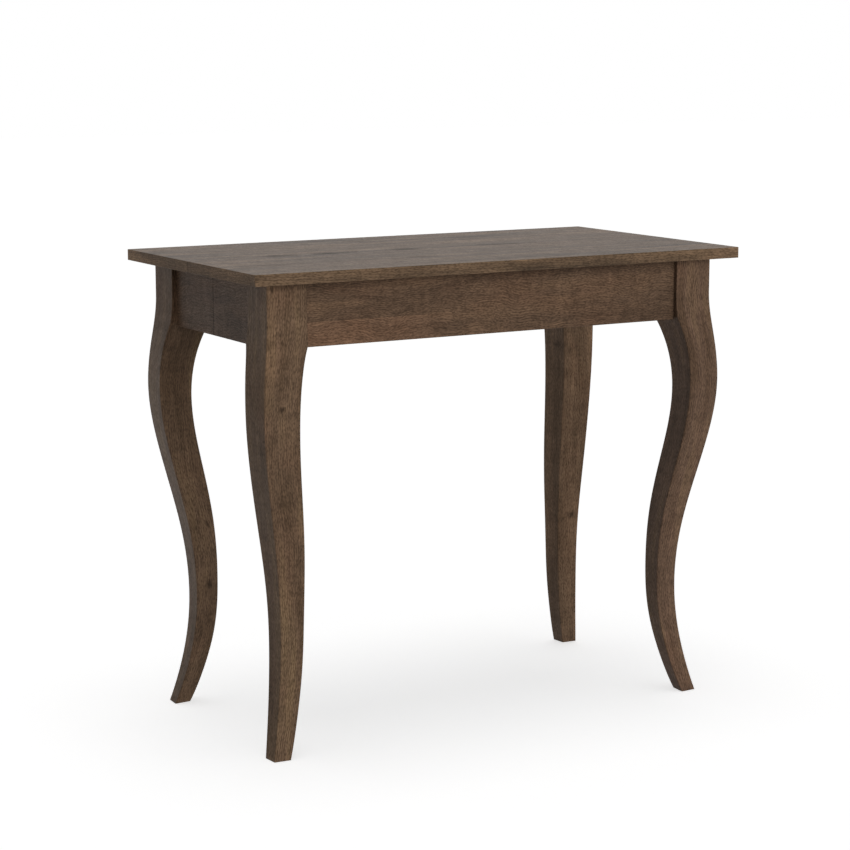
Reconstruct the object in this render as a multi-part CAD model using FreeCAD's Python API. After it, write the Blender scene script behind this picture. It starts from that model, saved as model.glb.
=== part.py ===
import FreeCAD, Part
import math
import os

from FreeCAD import Placement, Rotation, Vector

# Extendable console table, closed, in millimetres.
# The origin is on the floor under the middle of the top, +X to the right, +Y to the back, +Z up.
# The top and the frame part at mid depth: the front half draws out on two telescopic slides.

# Overall sizes of the closed table
TABLE_WIDTH = 900.0
TABLE_DEPTH = 480.0
TABLE_HEIGHT = 770.0

# Boards
TOP_THICKNESS = 18.0
APRON_THICKNESS = 18.0
APRON_HEIGHT = 102.0
APRON_SETBACK = 8.0
BOARD_ROUNDING = 0.8
SEAM_GAP = 0.4

# Leg posts
LEG_INSET_X = 35.0
LEG_INSET_Y = 32.0
POST_SIZE = 68.0
POST_CORNER_FLAT = 12.0
LEG_ROUNDING = 1.5

# Below the post each face of a leg leans out of square by this share of the way across, so that the
# outer and inner arrises are a little blunt. The foot is sawn with an allowance and cut level.
FACE_CANT = 0.07
SOLE_ALLOWANCE = 6.0

# Cabriole line of a leg, the same on both faces. Rises and drops are measured from the lower edge
# of the apron, heights from the floor, and setbacks inward from the outer face of the post.
FACE_START_RISE = 45.0
KNEE_DROP = 105.0
KNEE_BULGE = 12.0
ANKLE_HEIGHT = 178.0
ANKLE_SETBACK = 35.0
TOE_SETBACK = 8.0
TOE_SLOPE = 0.26
BACK_START_RISE = 5.0
BACK_START_SLOPE = 0.42
BACK_KNEE_DROP = 115.0
BACK_KNEE_SETBACK = 43.0
BACK_ANKLE_HEIGHT = 215.0
BACK_ANKLE_SETBACK = 72.0
HEEL_SETBACK = 34.5
HEEL_SLOPE = 0.36

# How the leg's lines bend between those places: a share of the way down and of the way across
SHOULDER_BEND = (0.57, 0.67)
SHIN_BEND = (0.29, 0.255)
CALF_BEND = (0.695, 0.85)
INSTEP_BEND = (0.52, 0.32)
BACK_SHIN_BEND = (0.42, 0.48)
BACK_CALF_BEND = (0.70, 0.88)
BACK_INSTEP_BEND = (0.49, 0.225)

# Dowels between aprons and leg posts
DOWEL_DIAMETER = 8.0
DOWEL_LENGTH = 40.0
DOWEL_EDGE_DISTANCE = 22.0
DOWEL_CLEARANCE = 0.1
DOWEL_END_CLEARANCE = 0.5

# Folded corner brackets, hanger bolts and flange nuts
BRACKET_PLATE = 2.0
BRACKET_HEIGHT = 50.0
BRACKET_FLANGE = 32.0
BRACKET_STANDOFF = 4.0
BRACKET_SCREW_SPACING = 28.0
BOLT_DIAMETER = 8.0
BOLT_DEPTH = 34.0
BOLT_TAIL = 12.0
BOLT_CLEARANCE = 0.2
BOLT_END_CHAMFER = 1.0
NUT_WIDTH = 13.0
NUT_HEIGHT = 7.0
NUT_FLANGE_DIAMETER = 17.0
NUT_FLANGE_HEIGHT = 1.6

# Screws with a pan head and a cross recess
SCREW_DIAMETER = 3.5
SCREW_LENGTH = 13.0
SLIDE_SCREW_SHORTFALL = 0.5
SCREW_TIP = 3.0
SCREW_TIP_DIAMETER = 0.8
SCREW_HEAD_DIAMETER = 7.0
SCREW_HEAD_HEIGHT = 2.2
SCREW_HEAD_ROUNDING = 1.0
SCREW_RECESS_WIDTH = 0.9
SCREW_RECESS_LENGTH = 4.0
SCREW_RECESS_DEPTH = 1.2
SCREW_CLEARANCE = 0.1

# Angle cleats between aprons and top
CLEAT_LEG = 20.0
CLEAT_WIDTH = 20.0
CLEAT_PLATE = 2.0
CLEAT_SPACING = 120.0
SIDE_CLEAT_Y = 26.0

# Telescopic slides: grooved aluminium members side by side, the outermost one on the rear half
# and the innermost one on the front half
LEAF_COUNT = 3
LEAF_DEPTH = 520.0
MEMBER_COUNT = 7
MEMBER_WEB = 3.0
MEMBER_HEIGHT = 40.0
MEMBER_GAP = 1.0
MEMBER_WALL = 2.0
GROOVE_MOUTH = 8.0
GROOVE_HEIGHT = 14.0
GROOVE_DEPTH = 3.5
GROOVE_LIP = 2.0
SLIDE_TOP_CLEARANCE = 1.0
SLIDE_END_CLEARANCE = 3.0
SLIDE_BRACKET_CLEARANCE = 10.0
KEY_CLEARANCE = 0.3
KEY_SNUG = 0.1
KEY_STOP_CLEARANCE = 0.4

# Angle brackets that hang the fixed slide members from the top
HANGER_LEG = 30.0
HANGER_LENGTH = 40.0
HANGER_PLATE = 2.0
HANGER_EDGE = 13.0
HANGER_SEAM_DISTANCE = 20.0
HANGER_END_DISTANCE = 25.0
HANGER_SCREW_SPACING = 22.0

# Crossbars under the moving slide members
CROSSBAR_WIDTH = 25.0
CROSSBAR_THICKNESS = 3.0
CROSSBAR_PAD = 1.0
CROSSBAR_SPACE = 15.0
RIVET_DIAMETER = 5.0
RIVET_HEAD_DIAMETER = 8.0
RIVET_HEAD_HEIGHT = 1.2
RIVET_CLEARANCE = 0.2

# Pins that line up the two halves of the top
PIN_DIAMETER = 8.0
PIN_HOLD = 20.0
PIN_REACH = 12.0
PIN_SPACING = 330.0
PIN_NOSE_CHAMFER = 1.5
PIN_SNUG = 0.1
SOCKET_CLEARANCE = 0.3
SOCKET_END_CLEARANCE = 2.0

# Swing locks under the seam
LOCK_SIDE_CLEARANCE = 10.0
PIVOT_SEAM_DISTANCE = 30.0
STUD_SEAM_DISTANCE = 20.0
LOCK_PLATE = 2.0
LOCK_PLATE_WIDTH = 30.0
LOCK_PLATE_LENGTH = 40.0
KEEPER_LENGTH = 24.0
LOCK_SCREW_SPACING = 26.0
KEEPER_SCREW_SPACING = 20.0
LOCK_HEAD_CLEARANCE = 0.8
LOCK_BOSS_DIAMETER = 12.0
LOCK_PIN_DIAMETER = 6.0
LOCK_HEAD_DIAMETER = 11.0
LOCK_HEAD_HEIGHT = 1.6
LOCK_CLEARANCE = 0.3
LEVER_WIDTH = 18.0
LEVER_THICKNESS = 2.5
LEVER_TIP = 9.0
LEVER_TAB_LENGTH = 24.0
LEVER_TAB_DROP = 14.0
LEVER_TAB_START = 14.0

# Places that follow from the sizes above
TOP_UNDERSIDE = TABLE_HEIGHT - TOP_THICKNESS
APRON_BOTTOM = TOP_UNDERSIDE - APRON_HEIGHT
APRON_MIDDLE = APRON_BOTTOM + APRON_HEIGHT / 2
POST_FACE_X = TABLE_WIDTH / 2 - LEG_INSET_X
POST_FACE_Y = TABLE_DEPTH / 2 - LEG_INSET_Y
POST_BACK_X = POST_FACE_X - POST_SIZE
POST_BACK_Y = POST_FACE_Y - POST_SIZE
LONG_APRON_INNER = POST_FACE_Y - APRON_SETBACK - APRON_THICKNESS
SIDE_APRON_INNER = POST_FACE_X - APRON_SETBACK - APRON_THICKNESS
SEAM_FACE = SEAM_GAP / 2

BRACKET_SUM = POST_BACK_X + POST_BACK_Y - BRACKET_STANDOFF * math.sqrt(2)
BRACKET_INNER_SUM = BRACKET_SUM - BRACKET_PLATE * math.sqrt(2)
MEMBER_WIDTH = 2 * (GROOVE_LIP + GROOVE_DEPTH) + MEMBER_WEB
MEMBER_PITCH = MEMBER_WIDTH + MEMBER_GAP
SLIDE_LENGTH = 2 * (LONG_APRON_INNER - BRACKET_PLATE - SCREW_HEAD_HEIGHT - SLIDE_END_CLEARANCE)
SLIDE_OUTER_X = BRACKET_INNER_SUM - SLIDE_LENGTH / 2 - SLIDE_BRACKET_CLEARANCE
SLIDE_TOP = TOP_UNDERSIDE - SLIDE_TOP_CLEARANCE
SLIDE_BOTTOM = SLIDE_TOP - MEMBER_HEIGHT
SLIDE_MIDDLE = SLIDE_TOP - MEMBER_HEIGHT / 2
FULL_TRAVEL = LEAF_COUNT * LEAF_DEPTH
STAGE_TRAVEL = FULL_TRAVEL / (MEMBER_COUNT - 1)
KEY_LENGTH = (SLIDE_LENGTH - STAGE_TRAVEL - KEY_STOP_CLEARANCE) / 2
CROSSBAR_PITCH = CROSSBAR_WIDTH + CROSSBAR_SPACE
SLIDE_SCREW_LENGTH = HANGER_PLATE + GROOVE_LIP + GROOVE_DEPTH + MEMBER_WEB - SLIDE_SCREW_SHORTFALL
HANGER_DROP = SLIDE_TOP_CLEARANCE + MEMBER_HEIGHT / 2 + HANGER_EDGE
FRONT_MEMBER_INNER_X = SLIDE_OUTER_X - (MEMBER_COUNT - 1) * MEMBER_PITCH - MEMBER_WIDTH
LOCK_REACH = PIVOT_SEAM_DISTANCE + STUD_SEAM_DISTANCE
LOCK_X = FRONT_MEMBER_INNER_X - HANGER_LEG - LOCK_SIDE_CLEARANCE - LEVER_TIP - LOCK_REACH
LOCK_STANDOFF = SCREW_HEAD_HEIGHT + LOCK_HEAD_CLEARANCE

UP = Vector(0, 0, 1)
RIGHT = Vector(1, 0, 0)
BACK = Vector(0, 1, 0)
REAR, FRONT = 1, -1
HALF_NAMES = {REAR: "rear", FRONT: "front"}
SIDES = {"left": -1, "right": 1}


def box(x_range, y_range, z_range):
    """A block between two corners given as ranges in any order."""
    spans = [sorted(r) for r in (x_range, y_range, z_range)]
    size = [high - low for low, high in spans]
    return Part.makeBox(*size, Vector(*(low for low, high in spans)))


def rod(diameter, start, direction, length):
    return Part.makeCylinder(diameter / 2, length, start, direction)


def prism(points, sweep):
    """A closed outline of straight edges, swept along a vector."""
    return Part.Face(Part.makePolygon(points + points[:1])).extrude(sweep)


def mirrored(shape, side, half):
    """A shape made at the right rear, turned over to the given side and half."""
    if side < 0:
        shape = shape.mirror(Vector(), RIGHT)
    if half < 0:
        shape = shape.mirror(Vector(), BACK)
    return shape


def turned(vector, side, half):
    return Vector(vector.x * side, vector.y * half, vector.z)


def placed(shape, point, direction):
    """A shape whose own axis is +Z, moved to a point and turned to a direction."""
    copy = shape.copy()
    copy.Placement = Placement(point, Rotation(UP, direction))
    return copy


def rounded(shape, radius, keep):
    """Rounds the edges whose middle passes a test."""
    return shape.makeFillet(radius, [edge for edge in shape.Edges if keep(edge.CenterOfMass)])


# Legs


def between(upper, lower, bend):
    """A station between two others, at the given shares of the way down and across."""
    return tuple(a + (b - a) * share for a, b, share in zip(upper, lower, bend))


def leg_line(stations, first_slope, last_slope, across):
    """A smooth curve down a leg through (height, offset) stations, in an upright plane."""
    curve = Part.BSplineCurve()
    curve.interpolate(
        Points=[Vector(offset, across, height) for height, offset in stations],
        InitialTangent=Vector(first_slope, 0, -1),
        FinalTangent=Vector(last_slope, 0, -1),
    )
    return curve.toShape()


def canted(stations, across):
    """Stations of an arris, moved to where the leaning face beside it meets an upright plane."""
    return [(height, offset + FACE_CANT * (offset - across)) for height, offset in stations]


def leg_outline(across):
    """The sawn outline of a leg in a plane that lies so far across; the post's outer face is at 0."""
    face_start = (APRON_BOTTOM + FACE_START_RISE, 0.0)
    knee = (APRON_BOTTOM - KNEE_DROP, KNEE_BULGE)
    ankle = (ANKLE_HEIGHT, -ANKLE_SETBACK)
    toe = (0.0, -TOE_SETBACK)
    toe_end = (-SOLE_ALLOWANCE, -TOE_SETBACK + TOE_SLOPE * SOLE_ALLOWANCE)
    shoulder = between(face_start, knee, SHOULDER_BEND)
    shin = between(knee, ankle, SHIN_BEND)
    calf = between(knee, ankle, CALF_BEND)
    instep = between(ankle, toe, INSTEP_BEND)
    face_stations = canted([shoulder, knee, shin, calf, ankle, instep, toe, toe_end], across)
    face_line = leg_line([face_start] + face_stations, 0.0, TOE_SLOPE, across)

    back_start = (APRON_BOTTOM + BACK_START_RISE, -POST_SIZE)
    back_knee = (APRON_BOTTOM - BACK_KNEE_DROP, -BACK_KNEE_SETBACK)
    back_ankle = (BACK_ANKLE_HEIGHT, -BACK_ANKLE_SETBACK)
    heel = (0.0, -HEEL_SETBACK)
    heel_end = (-SOLE_ALLOWANCE, -HEEL_SETBACK + HEEL_SLOPE * SOLE_ALLOWANCE)
    back_shin = between(back_knee, back_ankle, BACK_SHIN_BEND)
    back_calf = between(back_knee, back_ankle, BACK_CALF_BEND)
    back_instep = between(back_ankle, heel, BACK_INSTEP_BEND)
    back_stations = canted([back_knee, back_shin, back_calf, back_ankle, back_instep, heel, heel_end], across)
    back_line = leg_line([back_start] + back_stations, BACK_START_SLOPE, HEEL_SLOPE, across)
    corners = [
        Vector(-POST_SIZE, across, APRON_BOTTOM + BACK_START_RISE),
        Vector(-POST_SIZE, across, TOP_UNDERSIDE),
        Vector(0, across, TOP_UNDERSIDE),
        Vector(0, across, APRON_BOTTOM + FACE_START_RISE),
    ]
    sole = Part.makeLine(face_line.Vertexes[-1].Point, back_line.Vertexes[-1].Point)
    edges = [face_line, sole, back_line] + Part.makePolygon(corners).Edges
    return Part.Wire(Part.sortEdges(edges)[0])


def plain_leg():
    """The right rear leg: the same outline sawn through the stock from the back and from the side."""
    overhang = 2 * KNEE_BULGE
    near, far = overhang, -POST_SIZE - overhang
    from_back = Part.makeLoft([leg_outline(near), leg_outline(far)], True, True)
    from_side = from_back.mirror(Vector(), RIGHT - BACK)
    leg = from_back.common(from_side).Solids[0]
    arrises = [edge for edge in leg.Edges if edge.BoundBox.ZLength > POST_SIZE / 2]
    leg = leg.makeFillet(LEG_ROUNDING, arrises)
    allowance = Part.makeBox(near - far, near - far, SOLE_ALLOWANCE, Vector(far, far, -SOLE_ALLOWANCE))
    leg = leg.cut(allowance)
    leg.translate(Vector(POST_FACE_X, POST_FACE_Y, 0))
    flat_bottom = APRON_BOTTOM + BACK_START_RISE + LEG_ROUNDING
    flat = [
        Vector(POST_BACK_X, POST_BACK_Y, flat_bottom),
        Vector(POST_BACK_X + POST_CORNER_FLAT, POST_BACK_Y, flat_bottom),
        Vector(POST_BACK_X, POST_BACK_Y + POST_CORNER_FLAT, flat_bottom),
    ]
    return leg.cut(prism(flat, Vector(0, 0, APRON_HEIGHT)))


# Dowels of one half, between its leg posts and its aprons


def dowel_spots(half):
    """Middle and direction of each dowel of a half."""
    long_y = LONG_APRON_INNER + APRON_THICKNESS / 2
    side_x = SIDE_APRON_INNER + APRON_THICKNESS / 2
    heights = (APRON_BOTTOM + DOWEL_EDGE_DISTANCE, TOP_UNDERSIDE - DOWEL_EDGE_DISTANCE)
    spots = []
    for side in SIDES.values():
        for height in heights:
            spots.append((turned(Vector(POST_BACK_X, long_y, height), side, half), RIGHT))
            spots.append((turned(Vector(side_x, POST_BACK_Y, height), side, half), BACK))
    return spots


def dowel_rods(half, extra_diameter, extra_length):
    length = DOWEL_LENGTH + extra_length
    return [
        rod(DOWEL_DIAMETER + extra_diameter, middle - direction * (length / 2), direction, length)
        for middle, direction in dowel_spots(half)
    ]


# Corner brackets with their hanger bolts


BOLT_AXIS = Vector(1, 1, 0).normalize()
POST_CORNER = Vector(POST_BACK_X, POST_BACK_Y, APRON_MIDDLE)
PLATE_FACE = POST_CORNER - BOLT_AXIS * (BRACKET_STANDOFF + BRACKET_PLATE)


def fold_points(plate_offset):
    """Corners of one skin of the folded bracket; an offset of 0 lies on the aprons."""
    fold_sum = BRACKET_SUM - plate_offset * math.sqrt(2)
    long_y = LONG_APRON_INNER - plate_offset
    side_x = SIDE_APRON_INNER - plate_offset
    low = APRON_MIDDLE - BRACKET_HEIGHT / 2
    return [
        Vector(BRACKET_SUM - LONG_APRON_INNER - BRACKET_FLANGE, long_y, low),
        Vector(fold_sum - long_y, long_y, low),
        Vector(side_x, fold_sum - side_x, low),
        Vector(side_x, BRACKET_SUM - SIDE_APRON_INNER - BRACKET_FLANGE, low),
    ]


def corner_bracket():
    outline = fold_points(0.0) + fold_points(BRACKET_PLATE)[::-1]
    return prism(outline, Vector(0, 0, BRACKET_HEIGHT))


def bolt_rod(extra_diameter, extra_length):
    length = BOLT_DEPTH + BRACKET_STANDOFF + BRACKET_PLATE + BOLT_TAIL
    start = PLATE_FACE - BOLT_AXIS * BOLT_TAIL
    return rod(BOLT_DIAMETER + extra_diameter, start, BOLT_AXIS, length + extra_length)


def hanger_bolt():
    bolt = bolt_rod(0.0, 0.0)
    rims = [edge for edge in bolt.Edges if isinstance(edge.Curve, Part.Circle)]
    return bolt.makeChamfer(BOLT_END_CHAMFER, rims)


def flange_nut():
    """A hexagon nut on a round flange, its seat on z = 0."""
    radius = NUT_WIDTH / math.sqrt(3)
    angles = [math.radians(60 * step) for step in range(6)]
    corners = [Vector(radius * math.cos(a), radius * math.sin(a), 0) for a in angles]
    nut = prism(corners, Vector(0, 0, NUT_HEIGHT))
    nut = nut.fuse(rod(NUT_FLANGE_DIAMETER, Vector(), UP, NUT_FLANGE_HEIGHT))
    nut = nut.cut(rod(BOLT_DIAMETER + BOLT_CLEARANCE, Vector(), UP, NUT_HEIGHT))
    return nut.removeSplitter()


def bracket_screw_spots():
    """Point and direction of the four screws of the right rear bracket."""
    skin = fold_points(BRACKET_PLATE)
    flanges = [((skin[0] + skin[1]) * 0.5, BACK), ((skin[2] + skin[3]) * 0.5, RIGHT)]
    spots = []
    for middle, direction in flanges:
        for step in (-0.5, 0.5):
            lift = BRACKET_HEIGHT / 2 + step * BRACKET_SCREW_SPACING
            spots.append((middle + UP * lift, direction))
    return spots


# Screws


def is_head_rim(middle):
    return math.isclose(middle.z, -SCREW_HEAD_HEIGHT)


def screw(length):
    """A pan head screw whose head seats on z = 0 and whose tip points to +Z."""
    head = Part.makeCylinder(SCREW_HEAD_DIAMETER / 2, SCREW_HEAD_HEIGHT, Vector(0, 0, -SCREW_HEAD_HEIGHT))
    head = rounded(head, SCREW_HEAD_ROUNDING, is_head_rim)
    recess_depth = (-SCREW_HEAD_HEIGHT, -SCREW_HEAD_HEIGHT + SCREW_RECESS_DEPTH)
    arm = (-SCREW_RECESS_LENGTH / 2, SCREW_RECESS_LENGTH / 2)
    slit = (-SCREW_RECESS_WIDTH / 2, SCREW_RECESS_WIDTH / 2)
    head = head.cut([box(arm, slit, recess_depth), box(slit, arm, recess_depth)])
    shank_length = length - SCREW_TIP
    shank = Part.makeCylinder(SCREW_DIAMETER / 2, shank_length)
    tip = Part.makeCone(SCREW_DIAMETER / 2, SCREW_TIP_DIAMETER / 2, SCREW_TIP, Vector(0, 0, shank_length))
    return head.fuse([shank, tip]).removeSplitter()


def screw_holes(spots, length):
    diameter = SCREW_DIAMETER + SCREW_CLEARANCE
    return [rod(diameter, point, direction, length + SCREW_CLEARANCE) for point, direction in spots]


# Angle cleats


def angle_bar(drop, reach, plate, length):
    """An angle hung from z = 0: its upright lies on the +Y side of y = 0 and its other leg runs to -Y."""
    outline = [
        Vector(-length / 2, 0, 0),
        Vector(-length / 2, 0, -drop),
        Vector(-length / 2, -plate, -drop),
        Vector(-length / 2, -plate, -plate),
        Vector(-length / 2, -reach, -plate),
        Vector(-length / 2, -reach, 0),
    ]
    return prism(outline, Vector(length, 0, 0))


def hung(bar, places):
    """Copies of an angle, each moved to its place under the top and turned about the upright to its way."""
    pieces = []
    for spot, way in places:
        turn = math.degrees(math.atan2(-way.x, way.y))
        piece = bar.copy()
        piece.Placement = Placement(spot, Rotation(UP, turn))
        pieces.append(piece)
    return pieces


def cleat_places(half):
    """Place of each cleat of a half: a point on its apron under the top, and the way to the apron."""
    places = [
        (Vector(step * CLEAT_SPACING, half * LONG_APRON_INNER, TOP_UNDERSIDE), Vector(0, half, 0))
        for step in (-1, 0, 1)
    ]
    for side in SIDES.values():
        spot = Vector(side * SIDE_APRON_INNER, half * SIDE_CLEAT_Y, TOP_UNDERSIDE)
        places.append((spot, Vector(side, 0, 0)))
    return places


def cleats(half):
    return hung(angle_bar(CLEAT_LEG, CLEAT_LEG, CLEAT_PLATE, CLEAT_WIDTH), cleat_places(half))


def cleat_screw_spots(half):
    middle = (CLEAT_LEG + CLEAT_PLATE) / 2
    spots = []
    for spot, way in cleat_places(half):
        spots.append((spot - way * CLEAT_PLATE - UP * middle, way))
        spots.append((spot - way * middle - UP * CLEAT_PLATE, UP))
    return spots


# Telescopic slides, made on the right


def member_outer_x(number):
    """Outer face of a slide member, numbered from the outside."""
    return SLIDE_OUTER_X - (number - 1) * MEMBER_PITCH


def crossbar_y(number):
    """Crossbars lie in order, the foremost one on the stage that travels furthest."""
    return ((MEMBER_COUNT + 1) / 2 - number) * CROSSBAR_PITCH


def slide_member(number):
    """A hollow bar with a T groove along the middle of both sides."""
    outer = member_outer_x(number)
    start = -SLIDE_LENGTH / 2
    along = (start, -start)
    bar = box((outer - MEMBER_WIDTH, outer), along, (SLIDE_BOTTOM, SLIDE_TOP))
    for face, inward in ((outer, -1), (outer - MEMBER_WIDTH, 1)):
        lip_end = face + inward * GROOVE_LIP
        floor = lip_end + inward * GROOVE_DEPTH
        mouth = (SLIDE_MIDDLE - GROOVE_MOUTH / 2, SLIDE_MIDDLE + GROOVE_MOUTH / 2)
        cavity = (SLIDE_MIDDLE - GROOVE_HEIGHT / 2, SLIDE_MIDDLE + GROOVE_HEIGHT / 2)
        bar = bar.cut(box((face, floor), along, mouth)).cut(box((lip_end, floor), along, cavity))
    chamber_x = (outer - MEMBER_WIDTH + MEMBER_WALL, outer - MEMBER_WALL)
    chamber_low = (SLIDE_BOTTOM + MEMBER_WALL, SLIDE_MIDDLE - GROOVE_HEIGHT / 2 - MEMBER_WALL)
    chamber_high = (SLIDE_MIDDLE + GROOVE_HEIGHT / 2 + MEMBER_WALL, SLIDE_TOP - MEMBER_WALL)
    bar = bar.cut(box(chamber_x, along, chamber_low)).cut(box(chamber_x, along, chamber_high))
    if 1 < number < MEMBER_COUNT:
        hole_start = Vector(outer - MEMBER_WIDTH / 2, crossbar_y(number), SLIDE_BOTTOM)
        bar = bar.cut(rod(RIVET_DIAMETER + RIVET_CLEARANCE, hole_start, UP, MEMBER_WALL))
    return bar.removeSplitter()


def slide_key(gap_middle, fixed_way, end):
    """A key with two heads: one held in its own member, one free in the neighbour's groove.

    fixed_way is +1 where its own member is the outer one, and end is +1 at the rear end.
    """
    neck = MEMBER_GAP / 2 + GROOVE_LIP
    head_end = neck + GROOVE_DEPTH
    fixed_half = GROOVE_HEIGHT / 2 - KEY_SNUG
    free_half = GROOVE_HEIGHT / 2 - KEY_CLEARANCE
    neck_half = GROOVE_MOUTH / 2 - KEY_CLEARANCE
    upper = [
        (head_end, fixed_half),
        (neck + KEY_SNUG, fixed_half),
        (neck + KEY_SNUG, neck_half),
        (-neck - KEY_CLEARANCE, neck_half),
        (-neck - KEY_CLEARANCE, free_half),
        (-head_end + KEY_CLEARANCE, free_half),
    ]
    section = upper + [(along, -rise) for along, rise in reversed(upper)]
    y_outer = end * SLIDE_LENGTH / 2
    points = [Vector(gap_middle + fixed_way * along, y_outer, SLIDE_MIDDLE + rise) for along, rise in section]
    return prism(points, Vector(0, -end * KEY_LENGTH, 0))


def stage_keys(number):
    """Right-hand keys held in one member: a front one towards the next, a rear one towards the last."""
    outer = member_outer_x(number)
    keys = []
    if number < MEMBER_COUNT:
        keys.append(slide_key(outer - MEMBER_WIDTH - MEMBER_GAP / 2, 1, FRONT))
    if number > 1:
        keys.append(slide_key(outer + MEMBER_GAP / 2, -1, REAR))
    return keys


def crossbar(number):
    """A flat bar with a pad and a rivet at each end, under the left and right member of a stage."""
    outer = member_outer_x(number)
    middle = crossbar_y(number)
    across = (middle - CROSSBAR_WIDTH / 2, middle + CROSSBAR_WIDTH / 2)
    bar_top = SLIDE_BOTTOM - CROSSBAR_PAD
    bar = box((-outer, outer), across, (bar_top - CROSSBAR_THICKNESS, bar_top))
    for side in SIDES.values():
        seat = Vector(side * (outer - MEMBER_WIDTH / 2), middle, SLIDE_BOTTOM)
        pad = box((side * (outer - MEMBER_WIDTH), side * outer), across, (bar_top, SLIDE_BOTTOM))
        stem = rod(RIVET_DIAMETER, seat, UP, MEMBER_WALL)
        head = rod(RIVET_HEAD_DIAMETER, seat + UP * MEMBER_WALL, UP, RIVET_HEAD_HEIGHT)
        bar = bar.fuse([pad, stem, head])
    return bar.removeSplitter()


def hanger_places(half):
    """Seam-to-apron places of the slide hangers of a half, and the way to the member they hold."""
    fixed_face = SLIDE_OUTER_X if half == REAR else FRONT_MEMBER_INNER_X
    way = -1 if half == REAR else 1
    near_seam = HANGER_SEAM_DISTANCE + HANGER_LENGTH / 2
    near_end = SLIDE_LENGTH / 2 - HANGER_END_DISTANCE - HANGER_LENGTH / 2
    places = []
    for side in SIDES.values():
        for y in (near_seam, near_end):
            places.append((Vector(side * fixed_face, half * y, TOP_UNDERSIDE), Vector(side * way, 0, 0)))
    return places


def hangers(half):
    return hung(angle_bar(HANGER_DROP, HANGER_LEG, HANGER_PLATE, HANGER_LENGTH), hanger_places(half))


def hanger_top_screw_spots(half):
    reach = (HANGER_LEG + HANGER_PLATE) / 2
    return [
        (spot - way * reach - UP * HANGER_PLATE + BACK * (step * HANGER_SCREW_SPACING), UP)
        for spot, way in hanger_places(half)
        for step in (-0.5, 0.5)
    ]


def hanger_member_screw_spots(half):
    drop = TOP_UNDERSIDE - SLIDE_MIDDLE
    return [(spot - way * HANGER_PLATE - UP * drop, way) for spot, way in hanger_places(half)]


# Seam pins


def pin_rods(start_y, length, diameter):
    """Rods along the seam pins' axes, from a place in depth towards the back."""
    height = TOP_UNDERSIDE + TOP_THICKNESS / 2
    return [rod(diameter, Vector(step * PIN_SPACING, start_y, height), BACK, length) for step in (-1, 0, 1)]


def seam_pins():
    pins = pin_rods(-SEAM_FACE - PIN_HOLD, PIN_HOLD + SEAM_GAP + PIN_REACH, PIN_DIAMETER)
    nosed = []
    for pin in pins:
        nose = [edge for edge in pin.Edges if math.isclose(edge.CenterOfMass.y, SEAM_FACE + PIN_REACH)]
        nosed.append(pin.makeChamfer(PIN_NOSE_CHAMFER, nose))
    return nosed


# Swing locks, made on the right


LOCK_PLATE_BOTTOM = TOP_UNDERSIDE - LOCK_PLATE
LEVER_TOP = LOCK_PLATE_BOTTOM - LOCK_STANDOFF
LEVER_BOTTOM = LEVER_TOP - LEVER_THICKNESS
LOCK_PIVOT = Vector(LOCK_X, -PIVOT_SEAM_DISTANCE, LEVER_BOTTOM)
LOCK_STUD = Vector(LOCK_X, STUD_SEAM_DISTANCE, LEVER_BOTTOM)


def headed_stud(place):
    """A pin from a lock plate down through the lever's plane, with a head below."""
    head_top = place - UP * LOCK_CLEARANCE
    stem = rod(LOCK_PIN_DIAMETER, head_top, UP, LOCK_PLATE_BOTTOM - head_top.z)
    head = rod(LOCK_HEAD_DIAMETER, head_top - UP * LOCK_HEAD_HEIGHT, UP, LOCK_HEAD_HEIGHT)
    return stem.fuse(head)


def screwed_plate(place, length):
    """A flat plate under the top, centred on a pivot or a stud."""
    across = (place.x - LOCK_PLATE_WIDTH / 2, place.x + LOCK_PLATE_WIDTH / 2)
    along = (place.y - length / 2, place.y + length / 2)
    return box(across, along, (LOCK_PLATE_BOTTOM, TOP_UNDERSIDE))


def lock_plate():
    plate = screwed_plate(LOCK_PIVOT, LOCK_PLATE_LENGTH)
    boss_bottom = LOCK_PIVOT + UP * (LEVER_THICKNESS + LOCK_CLEARANCE)
    boss = rod(LOCK_BOSS_DIAMETER, boss_bottom, UP, LOCK_STANDOFF - LOCK_CLEARANCE)
    return plate.fuse([boss, headed_stud(LOCK_PIVOT)]).removeSplitter()


def lock_keeper():
    plate = screwed_plate(LOCK_STUD, KEEPER_LENGTH)
    return plate.fuse(headed_stud(LOCK_STUD)).removeSplitter()


def lock_screw_spots(half):
    """Screws of the plates on the front half, or of the keepers on the rear half."""
    spots = []
    for side in SIDES.values():
        for step in (-0.5, 0.5):
            if half == FRONT:
                spot = Vector(side * LOCK_X, LOCK_PIVOT.y + step * LOCK_SCREW_SPACING, LOCK_PLATE_BOTTOM)
            else:
                spot = Vector(side * LOCK_X + step * KEEPER_SCREW_SPACING, LOCK_STUD.y, LOCK_PLATE_BOTTOM)
            spots.append((spot, UP))
    return spots


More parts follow.
